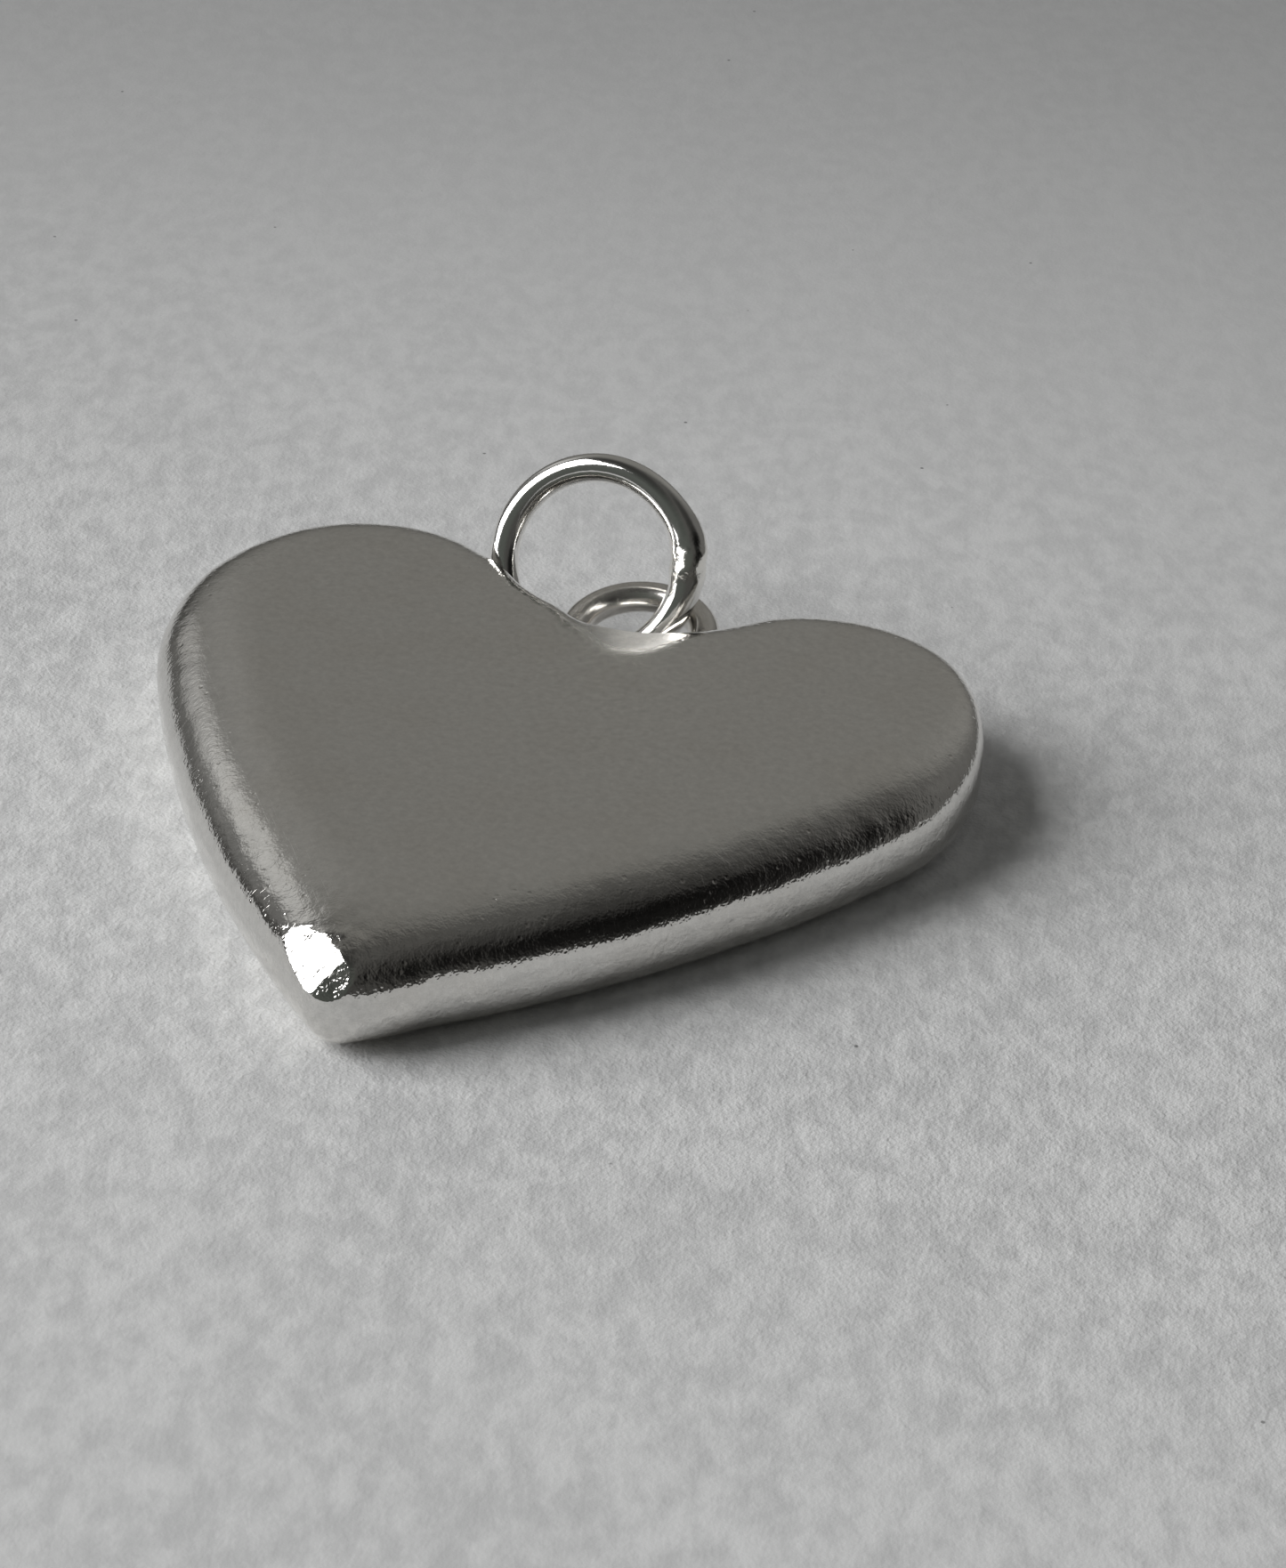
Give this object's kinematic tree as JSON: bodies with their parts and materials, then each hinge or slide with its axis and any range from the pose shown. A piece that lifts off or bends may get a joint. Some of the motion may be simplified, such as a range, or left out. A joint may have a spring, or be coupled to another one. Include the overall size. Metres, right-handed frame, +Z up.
{
  "type": "heart pendant",
  "caption": "Solid heart pendant with softly rounded edges, a small ring soldered into its cleft and a larger jump ring linked through it for a chain.",
  "frame": {"origin": "on the surface that the pendant lies on, under the middle of the whole pendant's box", "axes": "+Z up, out of the heart's front; -Y towards the heart's tip; +X to the right, seen from the front with the tip down"},
  "size_m": [0.0222, 0.0224, 0.0054],
  "materials": {
    "satin_silver": "satin polished silver, finely scratched, with small pits along its edges",
    "bright_silver": "bright polished silver wire with a soldered joint"
  },
  "bodies": {
    "root": {"heart": "satin_silver", "jump_ring": "bright_silver"}
  },
  "joints": []
}
